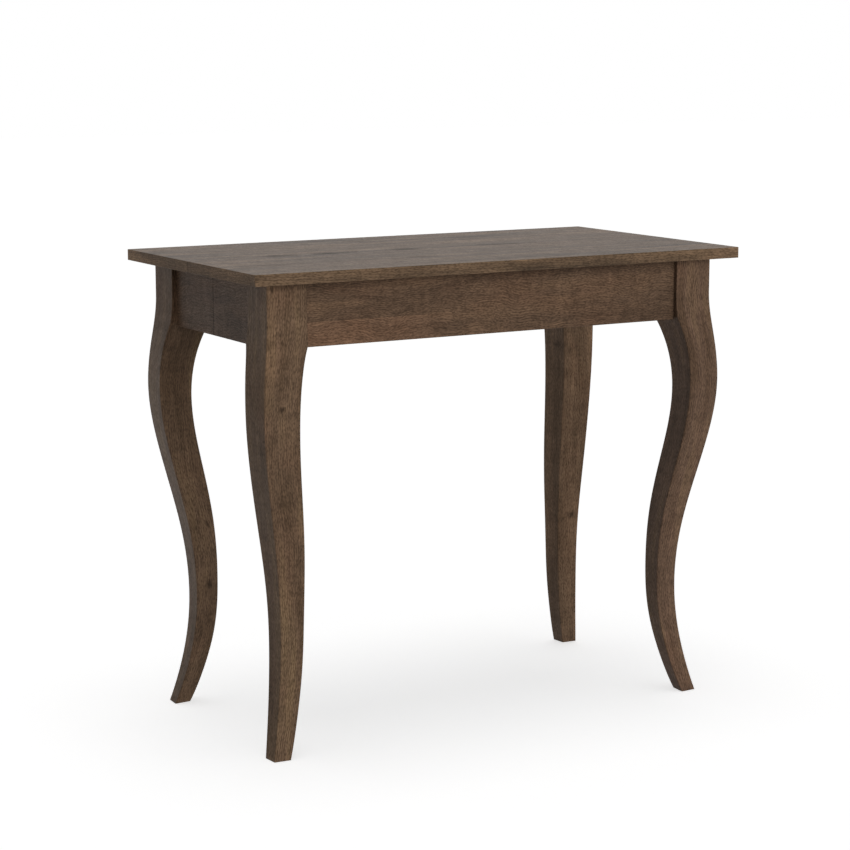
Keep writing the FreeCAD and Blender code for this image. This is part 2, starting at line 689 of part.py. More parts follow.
def lock_lever():
    """A flat lever that swings about its pivot and takes the keeper's stud into a curved slot.

    It is made closed, pointing to the back, and then swung open to lie along +X.
    """
    half_width = LEVER_WIDTH / 2
    flat = box((-half_width, half_width), (0, LOCK_REACH + LEVER_TIP), (0, LEVER_THICKNESS))
    flat = flat.fuse(rod(LEVER_WIDTH, Vector(), UP, LEVER_THICKNESS))
    tab = box(
        (half_width - LEVER_THICKNESS, half_width),
        (LEVER_TAB_START, LEVER_TAB_START + LEVER_TAB_LENGTH),
        (-LEVER_TAB_DROP, LEVER_THICKNESS),
    )
    slot_diameter = LOCK_PIN_DIAMETER + 2 * LOCK_CLEARANCE
    ring = rod(2 * LOCK_REACH + slot_diameter, Vector(), UP, LEVER_THICKNESS)
    ring = ring.cut(rod(2 * LOCK_REACH - slot_diameter, Vector(), UP, LEVER_THICKNESS))
    leading_side = box((-LOCK_REACH, 0), (0, 2 * LOCK_REACH), (0, LEVER_THICKNESS))
    slot = ring.common(leading_side).fuse(rod(slot_diameter, Vector(0, LOCK_REACH, 0), UP, LEVER_THICKNESS))
    pivot_hole = rod(slot_diameter, Vector(), UP, LEVER_THICKNESS)
    lever = flat.fuse(tab).cut(slot).cut(pivot_hole).removeSplitter()
    lever.rotate(Vector(), UP, -90)
    lever.translate(LOCK_PIVOT)
    return lever


# The boards of one half, made at the rear


def half_top():
    along = (-TABLE_WIDTH / 2, TABLE_WIDTH / 2)
    top = box(along, (SEAM_FACE, TABLE_DEPTH / 2), (TOP_UNDERSIDE, TABLE_HEIGHT))
    return rounded(top, BOARD_ROUNDING, lambda middle: middle.y > SEAM_GAP)


def is_lower_arris(middle, off_centre):
    """Tells the two long lower edges of an apron from its other edges."""
    return middle.z < APRON_BOTTOM + BOARD_ROUNDING and abs(off_centre) < BOARD_ROUNDING


def long_apron():
    board = box(
        (-POST_BACK_X, POST_BACK_X),
        (LONG_APRON_INNER, LONG_APRON_INNER + APRON_THICKNESS),
        (APRON_BOTTOM, TOP_UNDERSIDE),
    )
    return rounded(board, BOARD_ROUNDING, lambda middle: is_lower_arris(middle, middle.x))


def side_apron():
    board = box(
        (SIDE_APRON_INNER, SIDE_APRON_INNER + APRON_THICKNESS),
        (SEAM_FACE, POST_BACK_Y),
        (APRON_BOTTOM, TOP_UNDERSIDE),
    )
    board_middle = (SEAM_FACE + POST_BACK_Y) / 2
    return rounded(board, BOARD_ROUNDING, lambda middle: is_lower_arris(middle, middle.y - board_middle))


def build_half(half):
    """Every piece that stays with one half of the table, by node name."""
    name = HALF_NAMES[half]
    wood_spots = cleat_screw_spots(half) + hanger_top_screw_spots(half) + lock_screw_spots(half)
    for side in SIDES.values():
        for point, direction in bracket_screw_spots():
            wood_spots.append((turned(point, side, half), turned(direction, side, half)))
    member_spots = hanger_member_screw_spots(half)
    holes = screw_holes(wood_spots, SCREW_LENGTH) + screw_holes(member_spots, SLIDE_SCREW_LENGTH)
    dowel_holes = dowel_rods(half, DOWEL_CLEARANCE, DOWEL_END_CLEARANCE)

    top = mirrored(half_top(), 1, half).cut(holes)
    if half == FRONT:
        top = top.cut(pin_rods(-SEAM_FACE - PIN_HOLD, PIN_HOLD, PIN_DIAMETER + PIN_SNUG))
    else:
        socket_depth = PIN_REACH + SOCKET_END_CLEARANCE
        top = top.cut(pin_rods(SEAM_FACE, socket_depth, PIN_DIAMETER + 2 * SOCKET_CLEARANCE))
    nodes = {
        f"{name}_top": top,
        f"{name}_apron": mirrored(long_apron(), 1, half).cut(holes + dowel_holes),
        f"{name}_dowels": Part.makeCompound(dowel_rods(half, 0.0, 0.0)),
        f"{name}_top_cleats": Part.makeCompound([piece.cut(holes) for piece in cleats(half)]),
        f"{name}_slide_hangers": Part.makeCompound([piece.cut(holes) for piece in hangers(half)]),
    }

    bolt_hole = bolt_rod(BOLT_CLEARANCE, BOLT_CLEARANCE)
    leg = plain_leg().cut(bolt_hole)
    bracket = corner_bracket().cut(bolt_hole)
    member_number = 1 if half == REAR else MEMBER_COUNT
    for side_name, side in SIDES.items():
        nodes[f"{name}_{side_name}_leg"] = mirrored(leg, side, half).cut(dowel_holes)
        nodes[f"{name}_{side_name}_side_apron"] = mirrored(side_apron(), side, half).cut(holes + dowel_holes)
        nodes[f"{name}_{side_name}_corner_bracket"] = mirrored(bracket, side, half).cut(holes)
        member = mirrored(slide_member(member_number), side, 1)
        nodes[f"{side_name}_slide_{member_number}"] = member.cut(holes)

    nut = placed(flange_nut(), PLATE_FACE, BOLT_AXIS * -1)
    bolts = [mirrored(hanger_bolt(), side, half) for side in SIDES.values()]
    nuts = [mirrored(nut, side, half) for side in SIDES.values()]
    nodes[f"{name}_leg_bolts"] = Part.makeCompound(bolts)
    nodes[f"{name}_leg_nuts"] = Part.makeCompound(nuts)
    nodes[f"slide_keys_{member_number}"] = paired(stage_keys(member_number))
    locks = paired([lock_plate() if half == FRONT else lock_keeper()])
    locks = Part.makeCompound([piece.cut(holes) for piece in locks.Solids])
    nodes["lock_plates" if half == FRONT else "lock_keepers"] = locks

    wood_screw = screw(SCREW_LENGTH)
    member_screw = screw(SLIDE_SCREW_LENGTH)
    screws = [placed(wood_screw, point, direction) for point, direction in wood_spots]
    screws += [placed(member_screw, point, direction) for point, direction in member_spots]
    nodes[f"{name}_screws"] = Part.makeCompound(screws)
    return nodes


def paired(pieces):
    """Right-hand pieces and their mirror images on the left, as one group."""
    return Part.makeCompound([mirrored(piece, side, 1) for side in SIDES.values() for piece in pieces])


def build_stage(number):
    """The moving slide members of one stage with their keys and crossbar."""
    nodes = {
        f"slide_keys_{number}": paired(stage_keys(number)),
        f"slide_crossbar_{number}": crossbar(number),
    }
    for side_name, side in SIDES.items():
        nodes[f"{side_name}_slide_{number}"] = mirrored(slide_member(number), side, 1)
    return nodes


nodes = build_half(REAR) | build_half(FRONT)
for number in range(2, MEMBER_COUNT):
    nodes |= build_stage(number)
nodes["seam_pins"] = Part.makeCompound(seam_pins())
for side_name, side in SIDES.items():
    nodes[f"{side_name}_lock_lever"] = mirrored(lock_lever(), side, 1)

os.makedirs("parts", exist_ok=True)
for name, shape in nodes.items():
    shape.exportStep(f"parts/{name}.step")
print(f"{len(nodes)} nodes, slide travel {FULL_TRAVEL:.0f} mm, lock pivots at x {LOCK_X:.4f} mm")
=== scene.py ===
import math

import bpy
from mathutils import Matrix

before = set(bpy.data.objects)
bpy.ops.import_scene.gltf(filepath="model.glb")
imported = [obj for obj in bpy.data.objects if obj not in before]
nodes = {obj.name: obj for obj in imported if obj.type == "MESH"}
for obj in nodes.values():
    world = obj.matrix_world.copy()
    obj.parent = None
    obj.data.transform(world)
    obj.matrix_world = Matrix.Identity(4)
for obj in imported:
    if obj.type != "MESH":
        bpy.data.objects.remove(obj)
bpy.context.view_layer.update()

# Cabriole legs: four S-curved legs, each sawn from a square blank with its arrises broken, and faced with
# oak whose grain follows the bends. The oak is smoked to a dark brown and lacquered satin. A bolt draws
# each post into its corner.

MM = 0.001
# Height up a leg, and lean of its middle line out of the post, in mm
LEG_SWEEP = ((-100.0, 24.0), (200.0, -19.0), (540.0, 18.0), (690.0, 0.0))
# Share of red-brown, gloss, and how far the grain sways in mm
LEG_OAK = {"red": 0.3, "gloss": 0.08, "sway": 18.0}
# For each leg: the way out to its corner, where its facing was cut from the sheet in metres, so that no
# two look alike, and the dark, middle and light tone of its streaks. A mark is a knot, a check or a pale
# patch: its place and half sizes in mm, and the shade at its middle.
LEGS = {
    "front_left_leg": {
        "way": (-1.0, -1.0, 0.0),
        "start": (0.0, 0.0, 0.0),
        "tones": ("#503F30", "#5E4B3B", "#6A5641"),
        "marks": (
            ((-398.0, -222.0, 561.0), (9.0, 20.0, 7.0), 0.3),
            ((-406.0, -208.0, 741.0), (2.4, 12.0, 10.0), 0.2),
            ((-413.0, -208.0, 687.0), (7.0, 12.0, 5.0), 0.6),
            ((-396.0, -209.0, 673.0), (9.0, 12.0, 5.0), 0.6),
            ((-390.5, -210.0, 661.0), (4.0, 12.0, 5.0), 0.5),
            ((-410.0, -209.0, 660.0), (10.0, 12.0, 18.0), 0.7),
            ((-401.0, -216.0, 618.0), (4.0, 12.0, 5.0), 0.5),
            ((-396.0, -212.0, 665.0), (60.0, 40.0, 130.0), 1.2),
        ),
    },
    "front_right_leg": {
        "way": (1.0, -1.0, 0.0),
        "start": (0.3, 0.55, 0.25),
        "tones": ("#503E30", "#5E4A3C", "#6A5542"),
    },
    "rear_left_leg": {
        "way": (-1.0, 1.0, 0.0),
        "start": (0.9, 0.2, 0.4),
        "tones": ("#503F30", "#5E4B3B", "#6A5641"),
        "marks": (
            ((-360.0, 135.0, 211.0), (7.0, 14.0, 10.0), 0.3),
            ((-359.0, 139.0, 312.0), (4.0, 14.0, 6.0), 0.45),
        ),
    },
    "rear_right_leg": {
        "way": (1.0, 1.0, 0.0),
        "start": (0.5, 0.4, 0.8),
        # Its tones are painted paler, light that makes up for the shade the front right leg casts on it
        "tones": ("#5C4938", "#6A5543", "#78604B"),
        "marks": (
            ((369.0, 135.0, 253.0), (9.0, 14.0, 9.0), 0.3),
            ((369.0, 185.0, 561.0), (6.0, 14.0, 8.0), 0.45),
        ),
    },
}

# Turns that bring an axis of the table onto the first axis of grain space
GRAIN_TURNS = {
    "x": (0.0, 0.0, 0.0),
    "y": (0.0, 0.0, -math.pi / 2),
    "z": (0.0, math.pi / 2, 0.0),
}
OAK_IOR = 1.5
OAK_RED = "#664B39"
# Length in mm of the slow bends in the grain lines, and their noise detail
OAK_WAVE_LENGTH = 110.0
OAK_WAVE_DETAIL = 2.0
NOISE_MIDDLE = (0.5, 0.5, 0.5)
# Length along the grain and width across it, in mm, and noise detail. Real oak pores are about 0.3 mm
# wide, too fine to show here, so fibres and pores are drawn as coarse as a pixel or two of the view.
OAK_FIGURE = {
    "patch": (150.0, 60.0, 2.0),
    "streak": (300.0, 24.0, 2.0),
    "mottle": (16.0, 48.0, 3.0),
    "fibre": (70.0, 1.7, 0.0),
    "pore": (5.0, 1.5, 0.0),
}
# Year rings: their spacing and length in mm, how far they wander, and detail. The wave texture draws
# 10 / (2 pi) bands in one unit.
OAK_RING_SPACING = 4.0
OAK_RING_LENGTH = 90.0
OAK_RING_WANDER = 3.0
OAK_RING_DETAIL = 1.0
WAVE_BANDS = 10 / (2 * math.pi)
# Low and high end of each layer's noise, and how much it shades the wood there
OAK_SHADES = {
    "mottle": (0.3, 0.7, 0.88, 1.12),
    "ring": (0.0, 1.0, 0.88, 1.12),
    "fibre": (0.3, 0.7, 0.84, 1.16),
    "pore": (0.38, 0.7, 1.16, 0.68),
}
# Noise at which a streak has its dark, middle and light tone, and a patch begins and ends to redden
STREAK_STOPS = (0.3, 0.5, 0.7)
RED_PATCH = (0.48, 0.72)
# A mark's core and rim in half sizes, after the fibres have frayed it
MARK_CORE = 0.7
MARK_RIM = 1.6
MARK_FRAYING = 1.2
# A face looks along an axis where its normal lies within some 45 degrees of it
FACING = 0.7
# Lacquer lies smoother over light, dense wood than over open pores: a dark and a light shade, and the
# roughness at each
LACQUER = (0.5, 1.4, 0.58, 0.42)
# Depth of the pores in mm, and how strongly they show
OAK_PORE_DEPTH = 0.12
OAK_PORE_RELIEF = 0.6


def linear(hex_colour):
    """Linear red, green, blue and alpha of an sRGB hex colour."""
    shares = [int(hex_colour[i:i + 2], 16) / 255 for i in (1, 3, 5)]
    return [s / 12.92 if s <= 0.04045 else ((s + 0.055) / 1.055) ** 2.4 for s in shares] + [1.0]


def add(tree, kind, inputs=None, stops=None, **settings):
    """Adds a node: settings are its properties, inputs are socket values or the sockets that feed them."""
    node = tree.nodes.new(kind)
    for key, value in settings.items():
        setattr(node, key, value)
    for key, value in (inputs or {}).items():
        if isinstance(value, bpy.types.NodeSocket):
            tree.links.new(value, node.inputs[key])
        else:
            node.inputs[key].default_value = value
    for index, (position, colour) in enumerate(stops or ()):
        elements = node.color_ramp.elements
        element = elements[index] if index < 2 else elements.new(position)
        element.position = position
        element.color = colour
    return node


def new_material(name):
    """An empty material and its node tree."""
    material = bpy.data.materials.new(name)
    material.use_nodes = True
    material.node_tree.nodes.clear()
    return material, material.node_tree


def dress(material, names):
    """Puts a material into every slot of the named pieces."""
    for name in names:
        for slot in nodes[name].material_slots:
            slot.material = material


def smoked_oak(
    name, along, tones, red, gloss, sway,
    start=(0.0, 0.0, 0.0), way=None, seam=None, marks=(), stave=None, banding=None,
):
    """Smoked oak, lacquered satin: low-contrast brown with fine dark pores along one axis.

    In grain space the first axis runs along the grain. A slow noise bends the lines; stretched noises
    then give red-brown patches, streaks, mottle across the grain, fibres and pores, from coarse to fine.
    - way: the direction in which a leg leans. Its grain follows the bends, in smooth steps of height.
    - seam: width and depth of a line of painted shade at the seam, across the faces at both ends of the
      table, where the grain runs from front to back.
    - marks: ellipsoids with a ragged rim that darken the wood, or lighten it where their shade is over 1.
    - stave: end, joint height, fade and lightness of a redder strip below a joint.
    - banding: how much paler the upright faces are painted than the level ones, painted light
      for the stronger light on them, and their roughness; how much paler again those at both ends are
      painted, and the roughness of these. It goes with a seam.
    """
    material, tree = new_material(name)
    place = add(tree, "ShaderNodeTexCoord").outputs
    spot = add(tree, "ShaderNodeSeparateXYZ", {0: place["Object"]}).outputs
    facing = add(tree, "ShaderNodeSeparateXYZ", {0: place["Normal"]}).outputs

    around = place["Object"]
    if way:
        lean = LEG_SWEEP[0][1] * MM
        for (low, at_low), (high, at_high) in zip(LEG_SWEEP, LEG_SWEEP[1:]):
            rise = {0: spot["Z"], 1: low * MM, 2: high * MM, 3: 0.0, 4: (at_high - at_low) * MM}
            step = add(tree, "ShaderNodeMapRange", rise, interpolation_type="SMOOTHSTEP").outputs[0]
            lean = add(tree, "ShaderNodeMath", {0: step, 1: lean}, operation="ADD").outputs[0]
        shift = add(tree, "ShaderNodeVectorMath", {0: way, 3: lean}, operation="SCALE").outputs[0]
        straight = {0: around, 1: shift}
        around = add(tree, "ShaderNodeVectorMath", straight, operation="SUBTRACT").outputs[0]
    mapping = {"Vector": around, "Location": start, "Rotation": GRAIN_TURNS[along]}
    grain = add(tree, "ShaderNodeMapping", mapping).outputs[0]
    if seam:
        seam_width, seam_shade = seam
        mapping["Rotation"] = GRAIN_TURNS["y"]
        band = add(tree, "ShaderNodeMapping", mapping).outputs[0]
        size = add(tree, "ShaderNodeMath", {0: facing["X"]}, operation="ABSOLUTE").outputs[0]
        on_end = add(tree, "ShaderNodeMath", {0: size, 1: FACING}, operation="GREATER_THAN").outputs[0]
        choice = {"Factor": on_end, 4: grain, 5: band}
        grain = add(tree, "ShaderNodeMix", choice, data_type="VECTOR").outputs[1]

    slow = {0: grain, 3: 1 / (OAK_WAVE_LENGTH * MM)}
    scaled = add(tree, "ShaderNodeVectorMath", slow, operation="SCALE").outputs[0]
    wave = {"Vector": scaled, "Scale": 1.0, "Detail": OAK_WAVE_DETAIL}
    bend = add(tree, "ShaderNodeTexNoise", wave).outputs["Color"]
    bend = add(tree, "ShaderNodeVectorMath", {0: bend, 1: NOISE_MIDDLE}, operation="SUBTRACT").outputs[0]
    swayed = {0: bend, 1: (0.0, sway * MM, sway * MM), 2: grain}
    bent = add(tree, "ShaderNodeVectorMath", swayed, operation="MULTIPLY_ADD").outputs[0]

    figure = {}
    for layer, (length, width, detail) in OAK_FIGURE.items():
        counts = (1 / (length * MM), 1 / (width * MM), 1 / (width * MM))
        scaled = add(tree, "ShaderNodeVectorMath", {0: bent, 1: counts}, operation="MULTIPLY").outputs[0]
        noise = {"Vector": scaled, "Scale": 1.0, "Detail": detail}
        figure[layer] = add(tree, "ShaderNodeTexNoise", noise).outputs["Fac"]
    unit = OAK_RING_SPACING * WAVE_BANDS
    counts = (1 / (OAK_RING_LENGTH * MM), 1 / (unit * MM), 1 / (unit * MM))
    rings = {
        "Vector": add(tree, "ShaderNodeVectorMath", {0: bent, 1: counts}, operation="MULTIPLY").outputs[0],
        "Scale": 1.0,
        "Distortion": OAK_RING_WANDER,
        "Detail": OAK_RING_DETAIL,
        "Detail Scale": 1.0,
    }
    figure["ring"] = add(tree, "ShaderNodeTexWave", rings, bands_direction="DIAGONAL").outputs["Fac"]

    shares = {}
    for layer, ends in OAK_SHADES.items():
        shading = {0: figure[layer], **dict(enumerate(ends, 1))}
        shares[layer] = add(tree, "ShaderNodeMapRange", shading).outputs[0]
    for number, (centre, half_sizes, depth) in enumerate(marks):
        away = {0: place["Object"], 1: [c * MM for c in centre]}
        offset = add(tree, "ShaderNodeVectorMath", away, operation="SUBTRACT").outputs[0]
        counts = [1 / (half * MM) for half in half_sizes]
        scaled = add(tree, "ShaderNodeVectorMath", {0: offset, 1: counts}, operation="MULTIPLY").outputs[0]
        far = add(tree, "ShaderNodeVectorMath", {0: scaled}, operation="LENGTH").outputs["Value"]
        frayed = {0: figure["fibre"], 1: MARK_FRAYING, 2: far}
        ragged = add(tree, "ShaderNodeMath", frayed, operation="MULTIPLY_ADD").outputs[0]
        shading = {0: ragged, 1: MARK_CORE, 2: MARK_RIM, 3: depth, 4: 1.0}
        shares[f"mark_{number}"] = add(tree, "ShaderNodeMapRange", shading).outputs[0]
    # Painted shade: a thin dark line where the seam meets the end faces, for the shade in the joint
    if seam:
        off_seam = add(tree, "ShaderNodeMath", {0: spot["Y"]}, operation="ABSOLUTE").outputs[0]
        shading = {0: off_seam, 1: seam_width * MM / 2, 2: seam_width * MM, 3: seam_shade, 4: 0.0}
        line = add(tree, "ShaderNodeMapRange", shading).outputs[0]
        line = add(tree, "ShaderNodeMath", {0: line, 1: on_end}, operation="MULTIPLY").outputs[0]
        shares["seam"] = add(tree, "ShaderNodeMath", {0: 1.0, 1: line}, operation="SUBTRACT").outputs[0]
    # Painted light: the upright faces are painted paler than the level ones, and those at both ends paler
    # again
    if banding:
        edge_painted_light, edge_roughness, end_painted_light, end_roughness = banding
        size = add(tree, "ShaderNodeMath", {0: facing["Z"]}, operation="ABSOLUTE").outputs[0]
        level = add(tree, "ShaderNodeMath", {0: size, 1: FACING}, operation="GREATER_THAN").outputs[0]
        shading = {0: level, 3: edge_painted_light, 4: 1.0}
        shares["banding"] = add(tree, "ShaderNodeMapRange", shading).outputs[0]
        shading = {0: on_end, 3: 1.0, 4: end_painted_light}
        shares["end_banding"] = add(tree, "ShaderNodeMapRange", shading).outputs[0]
    reddening = {0: figure["patch"], 1: RED_PATCH[0], 2: RED_PATCH[1], 3: 0.0, 4: red}
    redness = add(tree, "ShaderNodeMapRange", reddening).outputs[0]
    if stave:
        end_x, joint_z, fade, lightness = stave
        run = {0: spot["X"], 1: (end_x - fade) * MM, 2: end_x * MM, 3: 1.0, 4: 0.0}
        along_x = add(tree, "ShaderNodeMapRange", run).outputs[0]
        height = {0: spot["Z"], 1: joint_z * MM}
        below = add(tree, "ShaderNodeMath", height, operation="LESS_THAN").outputs[0]
        inside = add(tree, "ShaderNodeMath", {0: along_x, 1: below}, operation="MULTIPLY").outputs[0]
        reddening = {0: inside, 1: red, 2: redness}
        redness = add(tree, "ShaderNodeMath", reddening, operation="MULTIPLY_ADD").outputs[0]
        shares["stave"] = add(tree, "ShaderNodeMapRange", {0: inside, 3: 1.0, 4: lightness}).outputs[0]

    shade = 1.0
    for share in shares.values():
        shade = add(tree, "ShaderNodeMath", {0: shade, 1: share}, operation="MULTIPLY").outputs[0]
    stops = list(zip(STREAK_STOPS, [linear(tone) for tone in tones]))
    tone = add(tree, "ShaderNodeValToRGB", {"Fac": figure["streak"]}, stops).outputs["Color"]
    reddened = {"Factor": redness, 6: tone, 7: linear(OAK_RED)}
    tone = add(tree, "ShaderNodeMix", reddened, data_type="RGBA").outputs[2]
    colour = add(tree, "ShaderNodeVectorMath", {0: tone, 3: shade}, operation="SCALE").outputs[0]

    lacquer = {0: shade, **dict(enumerate(LACQUER, 1))}
    dullness = add(tree, "ShaderNodeMapRange", lacquer).outputs[0]
    if banding:
        upright = {0: on_end, 3: edge_roughness, 4: end_roughness}
        edge_dullness = add(tree, "ShaderNodeMapRange", upright).outputs[0]
        dulling = {0: level, 3: edge_dullness, 4: dullness}
        dullness = add(tree, "ShaderNodeMapRange", dulling).outputs[0]
    pits = {"Height": shares["pore"], "Strength": OAK_PORE_RELIEF, "Distance": OAK_PORE_DEPTH * MM}
    face = {
        "Base Color": colour,
        "Roughness": dullness,
        "IOR": OAK_IOR,
        "Specular IOR Level": gloss,
        "Normal": add(tree, "ShaderNodeBump", pits).outputs[0],
    }
    surface = add(tree, "ShaderNodeBsdfPrincipled", face)
    add(tree, "ShaderNodeOutputMaterial", {"Surface": surface.outputs[0]})
    return material


for leg, blank in LEGS.items():
    dress(smoked_oak(f"smoked_oak_{leg}", "z", **LEG_OAK, **blank), [leg])

# Long aprons: 18 mm oak boards on edge between the leg posts, set back 8 mm from their faces.
# Each end is dowelled and glued into a post; the grain runs along the board, and the front board has a
# lighter, redder stave let in along its lower left.

# The aprons' tones are painted darker than the legs', painted shade for their place under the top's
# overhang
APRON_OAK = {"tones": ("#47372B", "#554335", "#624D3C"), "red": 0.3, "gloss": 0.08, "sway": 38.0}
# The stave's end along the table, the height of its upper joint and the length over which it fades into
# the board, in mm, and how much lighter it is
RED_STAVE = (-80.0, 688.0, 90.0, 1.32)
# Where the rear board was cut from the stock, in metres
REAR_START = (0.4, 0.0, 0.3)

dress(smoked_oak("smoked_oak_front_apron", "x", **APRON_OAK, stave=RED_STAVE), ["front_apron"])
dress(smoked_oak("smoked_oak_rear_apron", "x", **APRON_OAK, start=REAR_START), ["rear_apron"])

# Side aprons: each side is two short boards that meet at the mid-depth seam when the table is closed.
# Same stock as the long aprons, dowelled into the posts, with the grain from front to back. A thin line
# of painted shade marks the seam, for the shade in the joint.

HALVES = ("front", "rear")
SIDES = ("left", "right")
SIDE_APRONS = [f"{half}_{side}_side_apron" for half in HALVES for side in SIDES]
# Width in mm of the painted shade line at the seam, and how much of the light it takes away
SEAM_SHADE = (2.2, 0.35)

dress(smoked_oak("smoked_oak_side_aprons", "y", **APRON_OAK, seam=SEAM_SHADE), SIDE_APRONS)

# Top: two half boards, 18 mm thick, cut from one panel, so the figure runs on across the seam.
# Grain runs along the table; the short edges are banded, so there it runs from front to back. The top is
# glossier than the frame. Its upright edges are painted paler than its level face, painted light for the
# stronger light they take, and the short ends paler again; dark patches lie along the seam and mineral
# streaks near the front.

TOP_OAK = {"tones": ("#403429", "#574636", "#6B5744"), "red": 0.1, "gloss": 0.124, "sway": 14.0}
# How much paler the edges are painted than the face, painted light for the stronger light on them, and
# their roughness; how much paler again the short ones are painted, and the roughness of these
EDGE_PAINTED_LIGHT = (1.37, 0.75, 1.12, 0.62)
TOP_LEVEL = 770.0
DARK_STREAK_DEPTH = 30.0
# Dark patches along the seam, then mineral streaks in the front and rear halves: place along and across
# the table, half length and half width in mm, and shade at the middle
TOP_DARK_STREAKS = (
    (-290.0, 8.0, 40.0, 18.0, 0.3),
    (-194.0, 7.0, 46.0, 18.0, 0.3),
    (-49.0, 6.0, 36.0, 20.0, 0.25),
    (140.0, 4.0, 85.0, 12.0, 0.5),
    (-357.0, -122.0, 80.0, 18.0, 0.7),
    (-97.0, -120.0, 36.0, 12.0, 0.7),
    (-53.0, 167.0, 34.0, 16.0, 0.75),
    (148.0, 153.0, 44.0, 16.0, 0.75),
)

top_marks = [
    ((x, y, TOP_LEVEL), (half_length, half_width, DARK_STREAK_DEPTH), shade)
    for x, y, half_length, half_width, shade in TOP_DARK_STREAKS
]
top_oak = smoked_oak(
    "smoked_oak_top", "x", **TOP_OAK, seam=SEAM_SHADE, marks=top_marks, banding=EDGE_PAINTED_LIGHT
)
dress(top_oak, [f"{half}_top" for half in HALVES])

# Dowels: fluted beech pins, 8 mm thick, glued half into a post and half into an apron.
# Steamed beech is pale pinkish brown with short darker flecks.

BEECH_PALE = "#B98D66"
BEECH_FLECK = "#96683F"
BEECH_FLECK_SIZE = 3.0
BEECH_FLECK_SPAN = (0.4, 0.7)
BEECH_ROUGHNESS = 0.6


def steamed_beech(name):
    """Beech, left bare and dull: short dark flecks, from noise at the size of a fleck."""
    material, tree = new_material(name)
    place = add(tree, "ShaderNodeTexCoord").outputs["Object"]
    noise = {"Vector": place, "Scale": 1 / (BEECH_FLECK_SIZE * MM)}
    flecks = add(tree, "ShaderNodeTexNoise", noise).outputs["Fac"]
    stops = list(zip(BEECH_FLECK_SPAN, (linear(BEECH_PALE), linear(BEECH_FLECK))))
    tone = add(tree, "ShaderNodeValToRGB", {"Fac": flecks}, stops).outputs["Color"]
    face = {"Base Color": tone, "Roughness": BEECH_ROUGHNESS}
    surface = add(tree, "ShaderNodeBsdfPrincipled", face)
    add(tree, "ShaderNodeOutputMaterial", {"Surface": surface.outputs[0]})
    return material


dress(steamed_beech("steamed_beech"), [f"{half}_dowels" for half in HALVES])

# Corner brackets, cleats and slide hangers: 2 mm steel plate, cut, folded and zinc plated.
# The plating is a cool light grey, cloudy at the size of a few millimetres.

ZINC_BRIGHT = "#B4B7BA"
ZINC_DULL = "#8E9194"
ZINC_DETAIL = 4.0
# Most of a noise lies between these two values
NOISE_SPAN = (0.35, 0.65)
# Size of a cloud in mm, and roughness of the bright and of the dull metal
PLATE_ZINC = (9.0, 0.32, 0.5)
PLATE_NODES = [f"{half}_{side}_corner_bracket" for half in HALVES for side in SIDES]
PLATE_NODES += [f"{half}_{kind}" for half in HALVES for kind in ("top_cleats", "slide_hangers")]


def zinc_plated_steel(name, cloud, bright_roughness, dull_roughness):
    """Zinc plate: clouds of brighter and duller metal, which change colour and gloss together."""
    material, tree = new_material(name)
    place = add(tree, "ShaderNodeTexCoord").outputs["Object"]
    noise = {"Vector": place, "Scale": 1 / (cloud * MM), "Detail": ZINC_DETAIL}
    clouds = add(tree, "ShaderNodeTexNoise", noise).outputs["Fac"]
    stops = list(zip(NOISE_SPAN, (linear(ZINC_DULL), linear(ZINC_BRIGHT))))
    tone = add(tree, "ShaderNodeValToRGB", {"Fac": clouds}, stops).outputs["Color"]
    sheen = {0: clouds, 1: NOISE_SPAN[0], 2: NOISE_SPAN[1], 3: dull_roughness, 4: bright_roughness}
    roughness = add(tree, "ShaderNodeMapRange", sheen).outputs[0]
    face = {"Base Color": tone, "Metallic": 1.0, "Roughness": roughness}
    surface = add(tree, "ShaderNodeBsdfPrincipled", face)
    add(tree, "ShaderNodeOutputMaterial", {"Surface": surface.outputs[0]})
    return material


dress(zinc_plated_steel("zinc_plated_plate", *PLATE_ZINC), PLATE_NODES)

# Bolts, nuts and screws: cold-formed steel, barrel plated with zinc, so brighter than the plates.
# Hanger bolts hold the legs to the corner brackets; pan head screws hold every plate to the wood.

FASTENER_ZINC = (3.0, 0.24, 0.38)
FASTENER_NODES = [f"{half}_{kind}" for half in HALVES for kind in ("leg_bolts", "leg_nuts", "screws")]

dress(zinc_plated_steel("zinc_plated_fasteners", *FASTENER_ZINC), FASTENER_NODES)

# Slide members and crossbars: aluminium bars, the members extruded with a T groove on both sides.
# Natural anodising leaves a soft grey satin with fine die lines along the bar.

ALUMINIUM_LIGHT = "#C9CBCD"
ALUMINIUM_DARK = "#AEB1B4"
ALUMINIUM_LIGHT_ROUGHNESS = 0.38
ALUMINIUM_DARK_ROUGHNESS = 0.5
DIE_LINE_WIDTH = 1.2
DIE_LINE_LENGTH = 400.0
DIE_LINE_DETAIL = 3.0
MEMBER_COUNT = 7
MEMBER_NODES = [f"{side}_slide_{n}" for side in SIDES for n in range(1, MEMBER_COUNT + 1)]
CROSSBAR_NODES = [f"slide_crossbar_{n}" for n in range(2, MEMBER_COUNT)]


